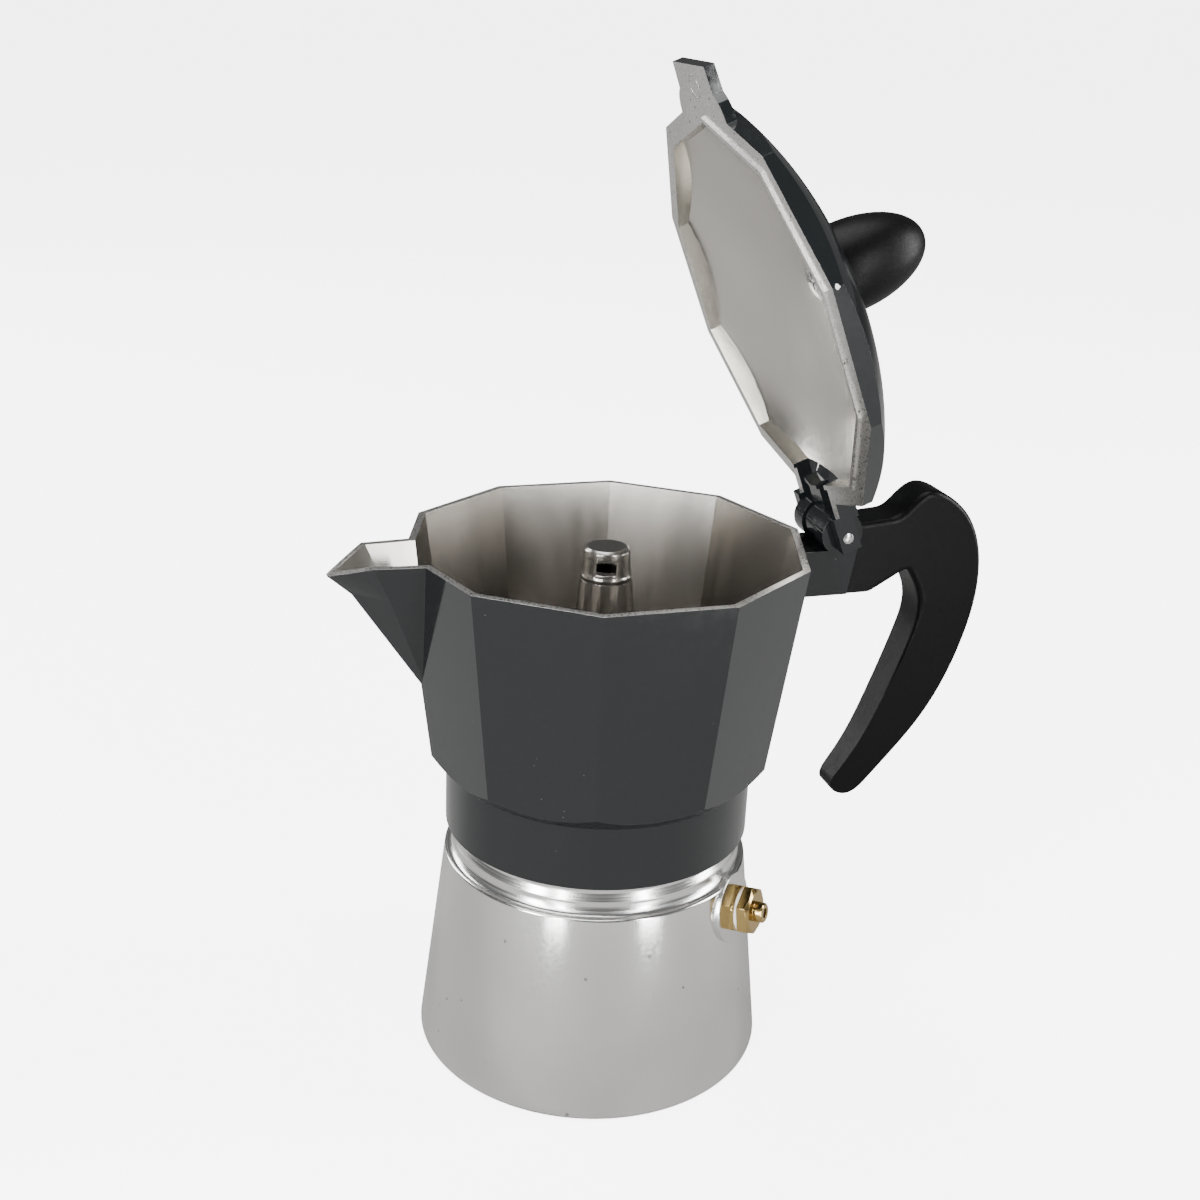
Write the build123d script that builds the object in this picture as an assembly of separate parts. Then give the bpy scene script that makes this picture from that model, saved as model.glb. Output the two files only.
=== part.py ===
from build123d import *
import math
import os

# Stovetop coffee maker (moka pot), three-cup size, lid stored open.
# Millimetres. +Z is up, the origin is the centre of the base's resting face,
# the handle points along +X and the spout along -X.

# ---------------------------------------------------------------- driving sizes
FACETS = 10
HALF_FACET = math.radians(180 / FACETS)

# Boiler
BASE_R = 43.4
BASE_CHAMFER = 0.9
BODY_TOP_R = 37.4
BODY_TOP_Z = 51.4
NECK_R = 34.0
NECK_BORE_R = 30.8
NECK_TOP_Z = 69.0
NECK_FILLET = 2.6
BOILER_WALL = 2.8
BOILER_FLOOR = 3.4

# Collector (upper pot)
COLLAR_R = 37.2
COLLAR_BORE_R = 35.2
COLLAR_BOTTOM_Z = 59.6
FACET_FOOT_Z = 79.5
FACET_FOOT_CORNER_R = 41.6
FOOT_CONE_Z = 75.3
RIM_Z = 131.0
RIM_CORNER_R = 48.3
RIM_WALL = 1.7
FLOOR_WALL = 2.5
FLOOR_Z = 79.0
SEAT_Z = 72.1
SEAT_R = 33.8
DOME_RELIEF_R = 25.6
DOME_RELIEF_Z = 76.0

# Column
COLUMN_FOOT_R = 11.0
COLUMN_NECK_R = 6.2
COLUMN_TOP_Z = 122.0
COLUMN_BORE_R = 3.4
CAP_TOP_Z = 129.8
CAP_TOP_R = 5.4
CAP_FOOT_R = 6.1
FLUTES = 12

# Spout
SPOUT_HALF_WIDTH = 9.2
SPOUT_BEND_X = 56.2
SPOUT_TIP_X = 66.0
SPOUT_TIP_Z = 126.8
SPOUT_KEEL_Z = 99.0
SPOUT_BEND_Z = 122.3
SPOUT_WALL = 1.7

# Hinge
PIN_X = 56.0
PIN_Z = 132.0
PIN_R = 1.3
PIN_HALF = 12.2
RUNNING_GAP = 0.05
KNUCKLE_R = 5.2
KNUCKLE_IN_Y = 3.6
KNUCKLE_OUT_Y = 8.5
LUG_R = 4.6
LUG_HALF = 3.2
ARM_IN_Y = 8.8
ARM_OUT_Y = 12.0
BRACKET_END_X = 61.9
BRACKET_FOOT_X = 59.3
BRACKET_BOTTOM_Z = 115.9
BRACKET_HALF = 7.1
SHELF_Z = 127.4
LID_OPEN_DEG = 68.2

# Lid, drawn closed and then turned open about the hinge pin
LID_Z = 131.3
LID_CORNER_R = 50.2
LID_EDGE_Z = 133.7
LID_APEX_Z = 148.0
LID_INNER_APEX_Z = 146.1
RIB_DEPTH = 0.6
RIB_OUT_APOTHEM = 43.8
RIB_IN_APOTHEM = 42.7
TAB_HALF_WIDTH = 10.3
TAB_TIP_X = 57.5
TAB_THICK = 2.5
NOTCH_X = 42.0

# Handle
HANDLE_HALF = 5.6
HANDLE_ROUND = 1.6
HANDLE_TIP_HALF = 3.3
HANDLE_TAPER_Z = 112.0
HANDLE_ROOT_X = 62.1

# Knob
KNOB_BASE_Z = 147.2
KNOB_BASE_R = 8.6
KNOB_R = 10.6
KNOB_WIDE_Z = 154.2
KNOB_TOP_Z = 173.4
KNOB_X = -2.0

# Gasket, filter plate and funnel
GASKET_R = 33.6
GASKET_BORE_R = 26.0
GASKET_THICK = 3.0
FILTER_R = 27.2
FILTER_THICK = 1.0
FUNNEL_FLANGE_R = 32.6
FUNNEL_R = 30.2
FUNNEL_WALL = 0.9
BASKET_BOTTOM_Z = 46.0
TUBE_R = 4.4
TUBE_BORE_R = 3.6
TUBE_BOTTOM_Z = 7.0

# Safety valve, on an axis square to the boiler's wall
VALVE_AZ_DEG = -45.0
VALVE_Z = 44.6
VALVE_HEX_AF = 10.8
VALVE_BASE_THICK = 2.2
VALVE_WASHER_THICK = 0.8
VALVE_HEX_THICK = 2.9
VALVE_LENGTH = 8.2
VALVE_NOSE_R = 2.45
VALVE_PIN_R = 0.8
VALVE_TRAVEL = 1.0
VALVE_CHAMBER_R = 1.95
SPOT_FACE = 0.4

# ------------------------------------------------------------------ derived
WALL_TILT = math.atan2(BASE_R - BODY_TOP_R, BODY_TOP_Z)
COS_HALF = math.cos(HALF_FACET)
VALVE_SEAT_Z = SPOT_FACE + 1.9
VALVE_SPIGOT_Z = SPOT_FACE + 4.8


def body_radius(z):
    """Outer radius of the boiler's cone at a height."""
    return BASE_R - z * math.tan(WALL_TILT)


def outer_corner_radius(z):
    """Corner radius of the faceted collector at a height."""
    slope = (RIM_CORNER_R - FACET_FOOT_CORNER_R) / (RIM_Z - FACET_FOOT_Z)
    return RIM_CORNER_R + (z - RIM_Z) * slope


def decagon(corner_r, z):
    """Ten-sided face with corners on +X and -X."""
    return Pos(0, 0, z) * RegularPolygon(corner_r, FACETS)


def frustum(corner_low, z_low, corner_high, z_high):
    """Ten-sided frustum."""
    return loft([decagon(corner_low, z_low), decagon(corner_high, z_high)], ruled=True)


def ring(r_out, r_in, z_low, z_high):
    """Plain ring about the Z axis."""
    height = z_high - z_low
    bottom = (Align.CENTER, Align.CENTER, Align.MIN)
    outer = Cylinder(r_out, height, align=bottom)
    inner = Cylinder(r_in, height, align=bottom)
    return Pos(0, 0, z_low) * (outer - inner)


def disc(radius, z_low, z_high):
    """Plain cylinder about the Z axis."""
    bottom = (Align.CENTER, Align.CENTER, Align.MIN)
    return Pos(0, 0, z_low) * Cylinder(radius, z_high - z_low, align=bottom)


def block(x_low, x_high, y_low, y_high, z_low, z_high):
    """Box between limits."""
    solid = Box(x_high - x_low, y_high - y_low, z_high - z_low)
    middle = ((x_low + x_high) / 2, (y_low + y_high) / 2, (z_low + z_high) / 2)
    return Pos(*middle) * solid


def bar_along_y(radius, y_low, y_high, x=PIN_X, z=PIN_Z):
    """Cylinder along Y, on the hinge axis unless another place is given."""
    middle = Pos(x, (y_low + y_high) / 2, z)
    return middle * Rot(90, 0, 0) * Cylinder(radius, y_high - y_low)


def spun(*edges):
    """Solid of revolution about Z from edges of a closed outline in XZ."""
    return revolve(make_face(list(edges)), Axis.Z)


def spun_polyline(points):
    """Solid of revolution about Z from (radius, z) corners."""
    outline = Polyline(*[(r, 0, z) for r, z in points], close=True)
    return revolve(make_face(outline), Axis.Z)


# ------------------------------------------------------------------ boiler
def valve_place():
    """Location whose Z axis is the valve's axis, with its origin on the wall."""
    radius = body_radius(VALVE_Z)
    return (
        Rot(0, 0, VALVE_AZ_DEG)
        * Pos(radius, 0, VALVE_Z)
        * Rot(0, 90 - math.degrees(WALL_TILT), 0)
    )


def make_boiler():
    """Cast water chamber with its machined neck."""
    shoulder_r = NECK_R + 0.9
    outside = Polyline(
        (0, 0, 0),
        (BASE_R - BASE_CHAMFER, 0, 0),
        (body_radius(BASE_CHAMFER), 0, BASE_CHAMFER),
        (BODY_TOP_R, 0, BODY_TOP_Z),
        (BODY_TOP_R - 0.5, 0, BODY_TOP_Z + 0.3),
    )
    flute = ThreePointArc(
        (BODY_TOP_R - 0.5, 0, BODY_TOP_Z + 0.3),
        (shoulder_r + 0.55, 0, BODY_TOP_Z + 1.3),
        (shoulder_r, 0, BODY_TOP_Z + 1.0 + NECK_FILLET),
    )
    top = Polyline(
        (shoulder_r, 0, BODY_TOP_Z + 1.0 + NECK_FILLET),
        (NECK_R, 0, BODY_TOP_Z + 5.4),
        (NECK_R, 0, NECK_TOP_Z - 0.6),
        (NECK_R - 0.6, 0, NECK_TOP_Z),
        (0, 0, NECK_TOP_Z),
        (0, 0, 0),
    )
    solid = spun(outside, flute, top)
    cavity = spun_polyline(
        [
            (0, BOILER_FLOOR),
            (BASE_R - BOILER_WALL - 1.6, BOILER_FLOOR),
            (BASE_R - BOILER_WALL - 0.6, BOILER_FLOOR + 1.4),
            (BODY_TOP_R - BOILER_WALL, BODY_TOP_Z - 3.0),
            (NECK_BORE_R, BODY_TOP_Z + 1.0),
            (NECK_BORE_R, NECK_TOP_Z + 1),
            (0, NECK_TOP_Z + 1),
        ]
    )
    step = disc(FUNNEL_FLANGE_R + 0.3, NECK_TOP_Z - 1.2, NECK_TOP_Z + 1)
    solid = solid - cavity - step
    spot = valve_place() * Pos(0, 0, -1.4) * Cylinder(8.6, 3.6)
    inside = spun_polyline(
        [
            (0, BOILER_FLOOR),
            (BASE_R - BOILER_WALL - 0.6, BOILER_FLOOR),
            (BODY_TOP_R - BOILER_WALL, BODY_TOP_Z - 3.0),
            (0, BODY_TOP_Z - 3.0),
        ]
    )
    lid_of_boss = disc(60, BODY_TOP_Z + 0.3, BODY_TOP_Z + 20)
    solid = solid + (spot - inside - lid_of_boss)
    bore = valve_place() * Cylinder(3.3, 14)
    return solid - bore


# ------------------------------------------------------------------ safety valve
def hexagon_prism(thick, across_flats):
    """Hexagonal prism standing on the XY plane, with corners up and down."""
    corner_r = across_flats / math.sqrt(3)
    return extrude(RegularPolygon(corner_r, 6), thick)


def chamfer_cone(z_low, z_high, r_low, r_high):
    """Cone frustum used to chamfer hexagon corners."""
    outline = Polyline(
        (0, 0, z_low), (r_low, 0, z_low), (r_high, 0, z_high), (0, 0, z_high), close=True
    )
    return revolve(make_face(outline), Axis.Z)


def make_valve_base():
    """Brass seat that passes through the wall and holds the valve cap."""
    corner = VALVE_HEX_AF / math.sqrt(3)
    crown = chamfer_cone(SPOT_FACE, SPOT_FACE + VALVE_BASE_THICK, corner + 0.1, corner - 0.5)
    crown = crown + disc(corner + 0.1, SPOT_FACE, SPOT_FACE + VALVE_BASE_THICK - 0.8)
    hexagon = Pos(0, 0, SPOT_FACE) * hexagon_prism(VALVE_BASE_THICK, VALVE_HEX_AF)
    solid = hexagon & crown
    solid = solid + disc(3.3, -5.7, SPOT_FACE + 0.2) + disc(3.4, SPOT_FACE, VALVE_SPIGOT_Z)
    solid = solid - disc(1.1, -7, SPOT_FACE + 6) - disc(VALVE_CHAMBER_R, VALVE_SEAT_Z, 10)
    return valve_place() * solid


def make_valve_backnut():
    """Nut inside the boiler that pulls the seat up against the wall."""
    nut = Pos(0, 0, -5.7) * hexagon_prism(2.0, 9.0)
    return valve_place() * (nut - disc(3.3, -7, 0))


def make_valve_washer():
    """Thin white washer between seat and cap."""
    z_low = SPOT_FACE + VALVE_BASE_THICK
    return valve_place() * ring(5.35, 3.45, z_low, z_low + VALVE_WASHER_THICK)


def make_valve_cap():
    """Hexagonal brass cap with a drilled nose."""
    z_low = SPOT_FACE + VALVE_BASE_THICK + VALVE_WASHER_THICK
    z_hex = z_low + VALVE_HEX_THICK
    z_top = SPOT_FACE + VALVE_LENGTH
    corner = VALVE_HEX_AF / math.sqrt(3)
    crown = disc(corner + 0.1, z_low, z_hex - 0.9)
    crown = crown + chamfer_cone(z_hex - 0.9, z_hex, corner + 0.1, corner - 1.5)
    solid = (Pos(0, 0, z_low) * hexagon_prism(VALVE_HEX_THICK, VALVE_HEX_AF)) & crown
    nose = disc(VALVE_NOSE_R, z_hex - 0.5, z_top - 0.3)
    nose = nose + chamfer_cone(z_top - 0.3, z_top, VALVE_NOSE_R, VALVE_NOSE_R - 0.3)
    chamber = disc(3.4, z_low - 1, VALVE_SPIGOT_Z) + disc(VALVE_CHAMBER_R, z_low, z_top - 0.9)
    solid = solid + nose - chamber - disc(VALVE_PIN_R + 0.35, z_low, z_top + 1)
    return valve_place() * solid


def make_valve_plunger():
    """Pin and disc that seal the seat and lift outward."""
    seat = VALVE_SEAT_Z + 0.02
    solid = disc(VALVE_CHAMBER_R - 0.3, seat, seat + 0.6)
    solid = solid + disc(VALVE_PIN_R, seat, SPOT_FACE + VALVE_LENGTH - 0.5)
    return valve_place() * solid


def make_valve_spring():
    """Coil spring round the plunger's pin, riding on its disc."""
    low = VALVE_SEAT_Z + 0.66
    high = SPOT_FACE + VALVE_LENGTH - 0.9 - VALVE_TRAVEL - 0.1
    wire = 0.14
    height = high - low - 2 * wire
    path = Helix(height / 4.5, height, 1.25)
    start = Plane(origin=path @ 0, z_dir=path % 0)
    coil = sweep(start * Circle(wire), path=path)
    return valve_place() * Pos(0, 0, low + wire) * coil


# ------------------------------------------------------------------ funnel
def hole_grid(z_low, z_high, limit, pitch, hole_r):
    """Pins on a triangular grid, for drilling a perforated disc."""
    pins = []
    rows = int(limit / (pitch * 0.866)) + 1
    for row in range(-rows, rows + 1):
        shift = pitch / 2 if row % 2 else 0
        for column in range(-rows - 1, rows + 2):
            x = column * pitch + shift
            y = row * pitch * math.sqrt(3) / 2
            if math.hypot(x, y) <= limit:
                pins.append(Pos(x, y, 0) * disc(hole_r, z_low, z_high))
    return pins


def make_funnel():
    """Coffee basket with its long stem."""
    flange_z = NECK_TOP_Z - 0.02
    low = BASKET_BOTTOM_Z
    cone_z = low - 4.5
    outline = [
        (TUBE_BORE_R, TUBE_BOTTOM_Z),
        (TUBE_R, TUBE_BOTTOM_Z),
        (TUBE_R, cone_z - 4.0),
        (FUNNEL_R - 7.0, cone_z),
        (FUNNEL_R - 1.0, low - 1.0),
        (FUNNEL_R, low),
        (FUNNEL_R, flange_z - 1.1),
        (FUNNEL_FLANGE_R, flange_z - 1.1),
        (FUNNEL_FLANGE_R, flange_z),
        (FUNNEL_R - FUNNEL_WALL, flange_z),
        (FUNNEL_R - FUNNEL_WALL, low + 0.4),
        (FUNNEL_R - FUNNEL_WALL - 0.8, low - 0.2),
        (FUNNEL_R - 7.2, cone_z + 0.9),
        (TUBE_BORE_R, cone_z - 3.0),
    ]
    return spun_polyline(outline)


def make_funnel_screen():
    """Perforated plate crimped in the basket's floor."""
    z_low = BASKET_BOTTOM_Z + 0.5
    plate = disc(FUNNEL_R - FUNNEL_WALL - 0.05, z_low, z_low + 0.8)
    for pin in hole_grid(z_low - 1, z_low + 2, 24.0, 6.0, 0.9):
        plate = plate - pin
    return plate


# ------------------------------------------------------------------ gasket and filter
def make_gasket():
    """Rubber ring between the boiler's neck and the collector."""
    z_low = NECK_TOP_Z + 0.03
    z_top = z_low + GASKET_THICK
    solid = ring(GASKET_R, GASKET_BORE_R, z_low, z_top)
    rebate = disc(FILTER_R + 0.1, z_top - FILTER_THICK, z_top + 1)
    return solid - rebate


def make_filter_plate():
    """Perforated disc held by the gasket's inner step."""
    z_top = NECK_TOP_Z + 0.03 + GASKET_THICK
    plate = disc(FILTER_R, z_top - FILTER_THICK, z_top)
    for pin in hole_grid(z_top - 3, z_top + 1, 22.5, 5.6, 0.7):
        plate = plate - pin
    return plate


# ------------------------------------------------------------------ collector
def spout_section(z, half, bend, tip, nose, spread):
    """Pointed plan of the spout at one height."""
    outline = Polyline(
        (-38.0, -half - spread, z),
        (-bend, -half, z),
        (-tip, -nose, z),
        (-tip, nose, z),
        (-bend, half, z),
        (-38.0, half + spread, z),
        close=True,
    )
    return make_face(outline)


def spout_prism(inset, top_z):
    """V-shaped spout body, from a point on the corner edge up to the rim."""
    rise = top_z - RIM_Z
    foot_z = SPOUT_KEEL_Z - 2.0 + inset * 3.0
    foot = spout_section(foot_z, 0.4, 42.6, 43.0 - inset * 0.1, 0.2, 0.2)
    middle = spout_section(
        SPOUT_BEND_Z,
        7.0 - inset,
        52.4 - inset * 0.4,
        60.0 - inset * 1.6,
        0.6 - inset * 0.2,
        1.2,
    )
    top = spout_section(
        top_z,
        SPOUT_HALF_WIDTH - inset + rise * 0.25,
        SPOUT_BEND_X - inset * 0.4,
        SPOUT_TIP_X + 4.0 - inset * 1.9 + rise,
        0.9 - inset * 0.3,
        1.4,
    )
    return loft([foot, middle, top], ruled=True)


def make_spout_outer():
    """Outside of the spout with its falling lip."""
    body = spout_prism(0, RIM_Z)
    fall = (RIM_Z - SPOUT_TIP_Z) / (SPOUT_TIP_X - SPOUT_BEND_X)
    far = SPOUT_TIP_X + 8.0
    lip = Polyline(
        (-SPOUT_BEND_X, -20, RIM_Z),
        (-far, -20, RIM_Z - fall * (far - SPOUT_BEND_X)),
        (-far, -20, RIM_Z + 5),
        (-SPOUT_BEND_X, -20, RIM_Z + 5),
        close=True,
    )
    return body - extrude(make_face(lip), 40, dir=(0, 1, 0))


def make_bracket():
    """Hinge and handle bracket cast on the collector's rear corner."""
    half = BRACKET_HALF
    side = Polyline(
        (44.5, 0, BRACKET_BOTTOM_Z),
        (BRACKET_FOOT_X, 0, BRACKET_BOTTOM_Z),
        (BRACKET_END_X, 0, PIN_Z + 0.6),
        (PIN_X, 0, PIN_Z + 0.6),
        (PIN_X, 0, SHELF_Z),
        (44.5, 0, SHELF_Z),
        close=True,
    )
    web = extrude(make_face(side), half, dir=(0, 1, 0), both=True)
    knuckles = bar_along_y(KNUCKLE_R, -KNUCKLE_OUT_Y, KNUCKLE_OUT_Y)
    slot = block(48.6, 70, -KNUCKLE_IN_Y, KNUCKLE_IN_Y, PIN_Z - LUG_R - 0.6, PIN_Z + 10)
    tenon = block(58.0, 69.0, -3.0, 3.0, 118.6, 126.6)
    return web + knuckles - slot + tenon


def make_column():
    """Tapered coffee column, fluted outside."""
    low = FLOOR_Z - 1
    outline = Polyline(
        (0, 0, low),
        (COLUMN_FOOT_R + 1.6, 0, low),
        (COLUMN_FOOT_R + 1.6, 0, FLOOR_Z),
    )
    swell = ThreePointArc(
        (COLUMN_FOOT_R + 1.6, 0, FLOOR_Z),
        (COLUMN_FOOT_R - 1.6, 0, FLOOR_Z + 8.0),
        (COLUMN_NECK_R + 1.0, 0, FLOOR_Z + 33.0),
    )
    top = Polyline(
        (COLUMN_NECK_R + 1.0, 0, FLOOR_Z + 33.0),
        (COLUMN_NECK_R, 0, COLUMN_TOP_Z),
        (0, 0, COLUMN_TOP_Z),
        (0, 0, low),
    )
    solid = spun(outline, swell, top)
    for index in range(FLUTES):
        flute = Pos(COLUMN_NECK_R + 1.15, 0, (FLOOR_Z + COLUMN_TOP_Z) / 2 + 18) * Cylinder(0.8, 22)
        solid = solid - Rot(0, 0, index * 360 / FLUTES) * Rot(0, 0, 0) * flute
    return solid


def make_collector():
    """Cast upper pot with spout, bracket and column."""
    low_z = FOOT_CONE_Z - 2
    facets = frustum(outer_corner_radius(low_z), low_z, RIM_CORNER_R, RIM_Z)
    reach = 30.0
    cone = spun_polyline(
        [
            (0, low_z),
            (COLLAR_R, low_z),
            (COLLAR_R, FOOT_CONE_Z),
            (COLLAR_R + reach, FOOT_CONE_Z + reach),
            (COLLAR_R + reach, RIM_Z + 5),
            (0, RIM_Z + 5),
        ]
    )
    body = facets & cone
    body = body + disc(COLLAR_R, COLLAR_BOTTOM_Z, low_z + 1)
    body = body + make_spout_outer() + make_bracket()
    foot_in = outer_corner_radius(FLOOR_Z) - FLOOR_WALL / COS_HALF
    top_in = RIM_CORNER_R - RIM_WALL / COS_HALF
    rise = (top_in - foot_in) / (RIM_Z - FLOOR_Z)
    cavity = frustum(foot_in, FLOOR_Z, top_in + rise, RIM_Z + 1)
    channel = spout_prism(SPOUT_WALL, RIM_Z + 0.1)
    bore = disc(COLLAR_BORE_R, COLLAR_BOTTOM_Z - 1, SEAT_Z - 0.4)
    seat = disc(SEAT_R, COLLAR_BOTTOM_Z - 1, SEAT_Z)
    relief = disc(DOME_RELIEF_R, COLLAR_BOTTOM_Z - 1, DOME_RELIEF_Z)
    body = body - cavity - channel - bore - seat - relief
    body = body + make_column()
    body = body - disc(COLUMN_BORE_R, DOME_RELIEF_Z - 1, COLUMN_TOP_Z + 1)
    return body - bar_along_y(PIN_R, -20, 20) - handle_screw_bore(1.5, 126.0)


def make_column_cap():
    """Pressed cap with two side windows."""
    outline = [
        (0, COLUMN_TOP_Z),
        (CAP_FOOT_R, COLUMN_TOP_Z),
        (CAP_FOOT_R, COLUMN_TOP_Z + 1.0),
        (CAP_FOOT_R - 0.25, COLUMN_TOP_Z + 1.4),
        (CAP_TOP_R, CAP_TOP_Z - 0.7),
        (CAP_TOP_R - 0.7, CAP_TOP_Z),
        (0, CAP_TOP_Z),
    ]
    solid = spun_polyline(outline)
    solid = solid - disc(COLUMN_BORE_R, COLUMN_TOP_Z - 1, CAP_TOP_Z - 1.6)
    window = block(2.0, 8.0, -2.3, 2.3, COLUMN_TOP_Z + 2.2, CAP_TOP_Z - 2.2)
    for azimuth in (-108, 72):
        solid = solid - Rot(0, 0, azimuth) * window
    return solid


# ------------------------------------------------------------------ hinge pin
def make_hinge_pin():
    """Steel pin with both ends peened over."""
    shaft = bar_along_y(PIN_R, -PIN_HALF, PIN_HALF)
    return shaft


# ------------------------------------------------------------------ lid
def opened(solid):
    """Turn a solid drawn closed to the stored open pose."""
    return Pos(PIN_X, 0, PIN_Z) * Rot(0, LID_OPEN_DEG, 0) * Pos(-PIN_X, 0, -PIN_Z) * solid


def domed(apex, heights, low_z):
    """Solid of revolution under a shallow dome through (radius, z) points."""
    points = [(0, 0, apex)] + [(r, 0, z) for r, z in heights]
    crown = Spline(*points, tangents=[(1, 0, 0), (0.8, 0, -0.55)])
    edge_r, edge_z = heights[-1]
    rest = Polyline((edge_r, 0, edge_z), (edge_r, 0, low_z), (0, 0, low_z), (0, 0, apex))
    return spun(crown, rest)


def outer_dome():
    """Everything under the lid's outer surface."""
    heights = [(22.0, 145.9), (41.0, 139.4), (LID_CORNER_R + 0.2, LID_EDGE_Z)]
    return domed(LID_APEX_Z, heights, LID_Z - 5)


def inner_dome():
    """Everything under the lid's inner surface."""
    heights = [(22.0, 143.5), (36.0, 138.8), (45.2, 133.2)]
    return domed(LID_INNER_APEX_Z, heights, LID_Z - 6)


def make_lid_dome():
    """Outside of the lid: a shallow dome cut by ten facets."""
    prism = extrude(decagon(LID_CORNER_R, LID_Z), 30)
    return prism & outer_dome()


def make_lid_tab():
    """Thumb tab over the spout."""
    waist = 51.5
    root_half = 13.6
    plan = Polyline(
        (-40.0, -root_half - 4.0, LID_Z),
        (-LID_CORNER_R + 4.2, -root_half, LID_Z),
    )
    near = RadiusArc(
        (-LID_CORNER_R + 4.2, -root_half, LID_Z), (-waist, -TAB_HALF_WIDTH, LID_Z), 7.0
    )
    tip = Polyline(
        (-waist, -TAB_HALF_WIDTH, LID_Z),
        (-TAB_TIP_X, -TAB_HALF_WIDTH + 0.6, LID_Z),
        (-TAB_TIP_X, TAB_HALF_WIDTH - 0.6, LID_Z),
        (-waist, TAB_HALF_WIDTH, LID_Z),
    )
    far = RadiusArc(
        (-waist, TAB_HALF_WIDTH, LID_Z), (-LID_CORNER_R + 4.2, root_half, LID_Z), 7.0
    )
    back = Polyline(
        (-LID_CORNER_R + 4.2, root_half, LID_Z),
        (-40.0, root_half + 4.0, LID_Z),
        (-40.0, -root_half - 4.0, LID_Z),
    )
    face = make_face([plan, near, tip, far, back])
    return extrude(face, TAB_THICK, dir=(0, 0, 1))


def make_lid_ears():
    """Two outer arms and a middle lug that take the hinge pin."""
    ears = bar_along_y(LUG_R, -LUG_HALF, LUG_HALF)
    ears = ears + block(44.0, PIN_X, -LUG_HALF, LUG_HALF, LID_Z, PIN_Z + LUG_R)
    for side in (-1, 1):
        low, high = sorted((side * ARM_IN_Y, side * ARM_OUT_Y))
        ears = ears + block(40.0, 51.5, low, high, LID_Z, PIN_Z + 4.0)
        ears = ears + block(50.0, PIN_X + 3.4, low, high, PIN_Z - 2.3, PIN_Z + 2.6)
    return ears


def make_lid():
    """Cast lid with its locating rib, tab and hinge ears."""
    shell = make_lid_dome() + make_lid_tab()
    rib = extrude(decagon(RIB_OUT_APOTHEM / COS_HALF, LID_Z - RIB_DEPTH), RIB_DEPTH + 1)
    shell = shell + rib
    inner_prism = extrude(decagon(RIB_IN_APOTHEM / COS_HALF, LID_Z - RIB_DEPTH - 1), 30)
    cavity = inner_prism & inner_dome()
    shell = shell - cavity
    ears = make_lid_ears() - cavity
    for side in (-1, 1):
        low, high = sorted((side * (LUG_HALF + 0.2), side * (KNUCKLE_OUT_Y + 0.3)))
        shell = shell - block(NOTCH_X, 60, low, high, LID_Z - 5, LID_Z + 20)
    shell = shell - block(46.2, 60, -LUG_HALF - 1, LUG_HALF + 1, LID_Z - 5, LID_Z - 0.001)
    solid = shell + ears
    solid = solid - bar_along_y(PIN_R + RUNNING_GAP, -20, 20)
    solid = solid - Pos(KNOB_X, 0, 0) * disc(2.15, 130, 160)
    return opened(solid)


# ------------------------------------------------------------------ knob
def make_knob():
    """Egg-shaped plastic knob."""
    base = Polyline((0, 0, KNOB_BASE_Z - 2), (KNOB_BASE_R, 0, KNOB_BASE_Z - 2))
    side = ThreePointArc(
        (KNOB_BASE_R, 0, KNOB_BASE_Z - 2),
        (KNOB_R - 0.4, 0, KNOB_BASE_Z + 2.8),
        (KNOB_R, 0, KNOB_WIDE_Z),
    )
    crown = Bezier(
        (KNOB_R, 0, KNOB_WIDE_Z),
        (KNOB_R, 0, KNOB_WIDE_Z + 9.4),
        (6.4, 0, KNOB_TOP_Z),
        (0, 0, KNOB_TOP_Z),
    )
    axis = Line((0, 0, KNOB_TOP_Z), (0, 0, KNOB_BASE_Z - 2))
    solid = spun(base, side, crown, axis)
    solid = Pos(KNOB_X, 0, 0) * (solid - disc(3.2, 140, 160.5))
    return opened(solid - outer_dome())


def make_knob_insert():
    """Threaded brass insert moulded in the knob."""
    return opened(Pos(KNOB_X, 0, 0) * ring(3.2, 2.05, LID_APEX_Z + 0.02, 160.5))


def make_knob_screw():
    """Flat cross-head screw that clamps the knob from inside the lid."""
    head_top = LID_INNER_APEX_Z - 0.35
    head = disc(4.6, head_top - 0.45, head_top)
    crown = spun(
        ThreePointArc((0, 0, head_top - 0.85), (2.6, 0, head_top - 0.73), (4.3, 0, head_top - 0.45)),
        Polyline((4.3, 0, head_top - 0.45), (0, 0, head_top - 0.45), (0, 0, head_top - 0.85)),
    )
    cross = block(-2.2, 2.2, -0.4, 0.4, head_top - 3, head_top - 0.2)
    solid = head + crown - cross - Rot(0, 0, 90) * cross
    solid = solid + disc(2.0, head_top, 158.5)
    return opened(Pos(KNOB_X, 0, 0) * solid)


# ------------------------------------------------------------------ handle
def handle_screw_bore(radius, top):
    """Vertical hole for the handle's screw."""
    return Pos(65.4, 0, 0) * disc(radius, 108, top)


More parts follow.
